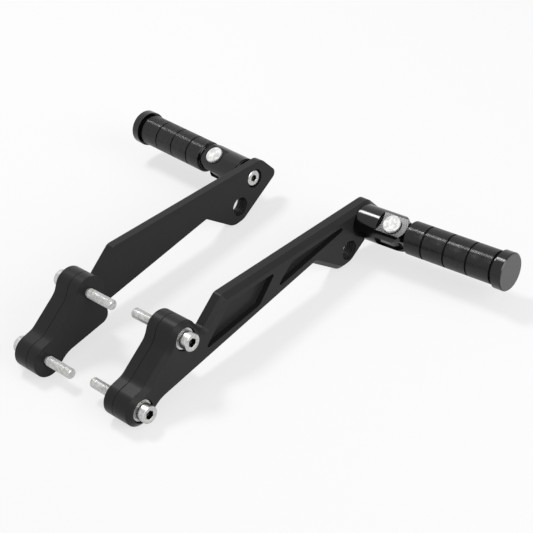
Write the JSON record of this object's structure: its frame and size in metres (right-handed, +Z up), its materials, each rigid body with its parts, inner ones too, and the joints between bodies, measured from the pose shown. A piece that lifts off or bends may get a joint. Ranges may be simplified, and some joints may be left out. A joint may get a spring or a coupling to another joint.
{
  "type": "passenger peg pair",
  "caption": "Pair of mirrored milled motorbike brackets with spacers, through bolts, clevises and folding ringed passenger pegs.",
  "frame": {"origin": "on the floor, in the middle of the pair's length along X and of its width along Y", "axes": "+X from the left bracket to the right one along the pegs, +Y along the arms from the mounting end to the tip, +Z up"},
  "size_m": [0.3756, 0.2696, 0.0553],
  "materials": {
    "bracket_anodised": "satin",
    "peg_anodised": "polished",
    "steel": "satin",
    "spring_steel": "satin"
  },
  "bodies": {
    "brackets": {"left_bracket": "bracket_anodised", "left_mount_spacer": "bracket_anodised", "left_upper_bolt": "steel", "left_lower_bolt": "steel", "left_upper_washer": "steel", "left_lower_washer": "steel", "left_clevis": "peg_anodised", "left_clevis_screw": "steel", "left_pivot_pin": "steel", "left_pin_clip": "spring_steel", "right_bracket": "bracket_anodised", "right_mount_spacer": "bracket_anodised", "right_upper_bolt": "steel", "right_lower_bolt": "steel", "right_upper_washer": "steel", "right_lower_washer": "steel", "right_clevis": "peg_anodised", "right_clevis_screw": "steel", "right_pivot_pin": "steel", "right_pin_clip": "spring_steel"},
    "left_folding_peg": {"left_peg": "peg_anodised", "left_end_cap": "peg_anodised", "left_detent_ball": "steel", "left_detent_spring": "spring_steel"},
    "right_folding_peg": {"right_peg": "peg_anodised", "right_end_cap": "peg_anodised", "right_detent_ball": "steel", "right_detent_spring": "spring_steel"}
  },
  "joints": [
    {"name": "left_peg_fold", "type": "hinge", "parent": "brackets", "child": "left_folding_peg", "pos_m": [-0.09004, 0.11109, 0.0282], "axis": [0.0268, 0.4376, -0.8988], "range_deg": [0, 90]},
    {"name": "right_peg_fold", "type": "hinge", "parent": "brackets", "child": "right_folding_peg", "pos_m": [0.09004, 0.11459, 0.0282], "axis": [0.0268, -0.4376, 0.8988], "range_deg": [0, 90]}
  ]
}
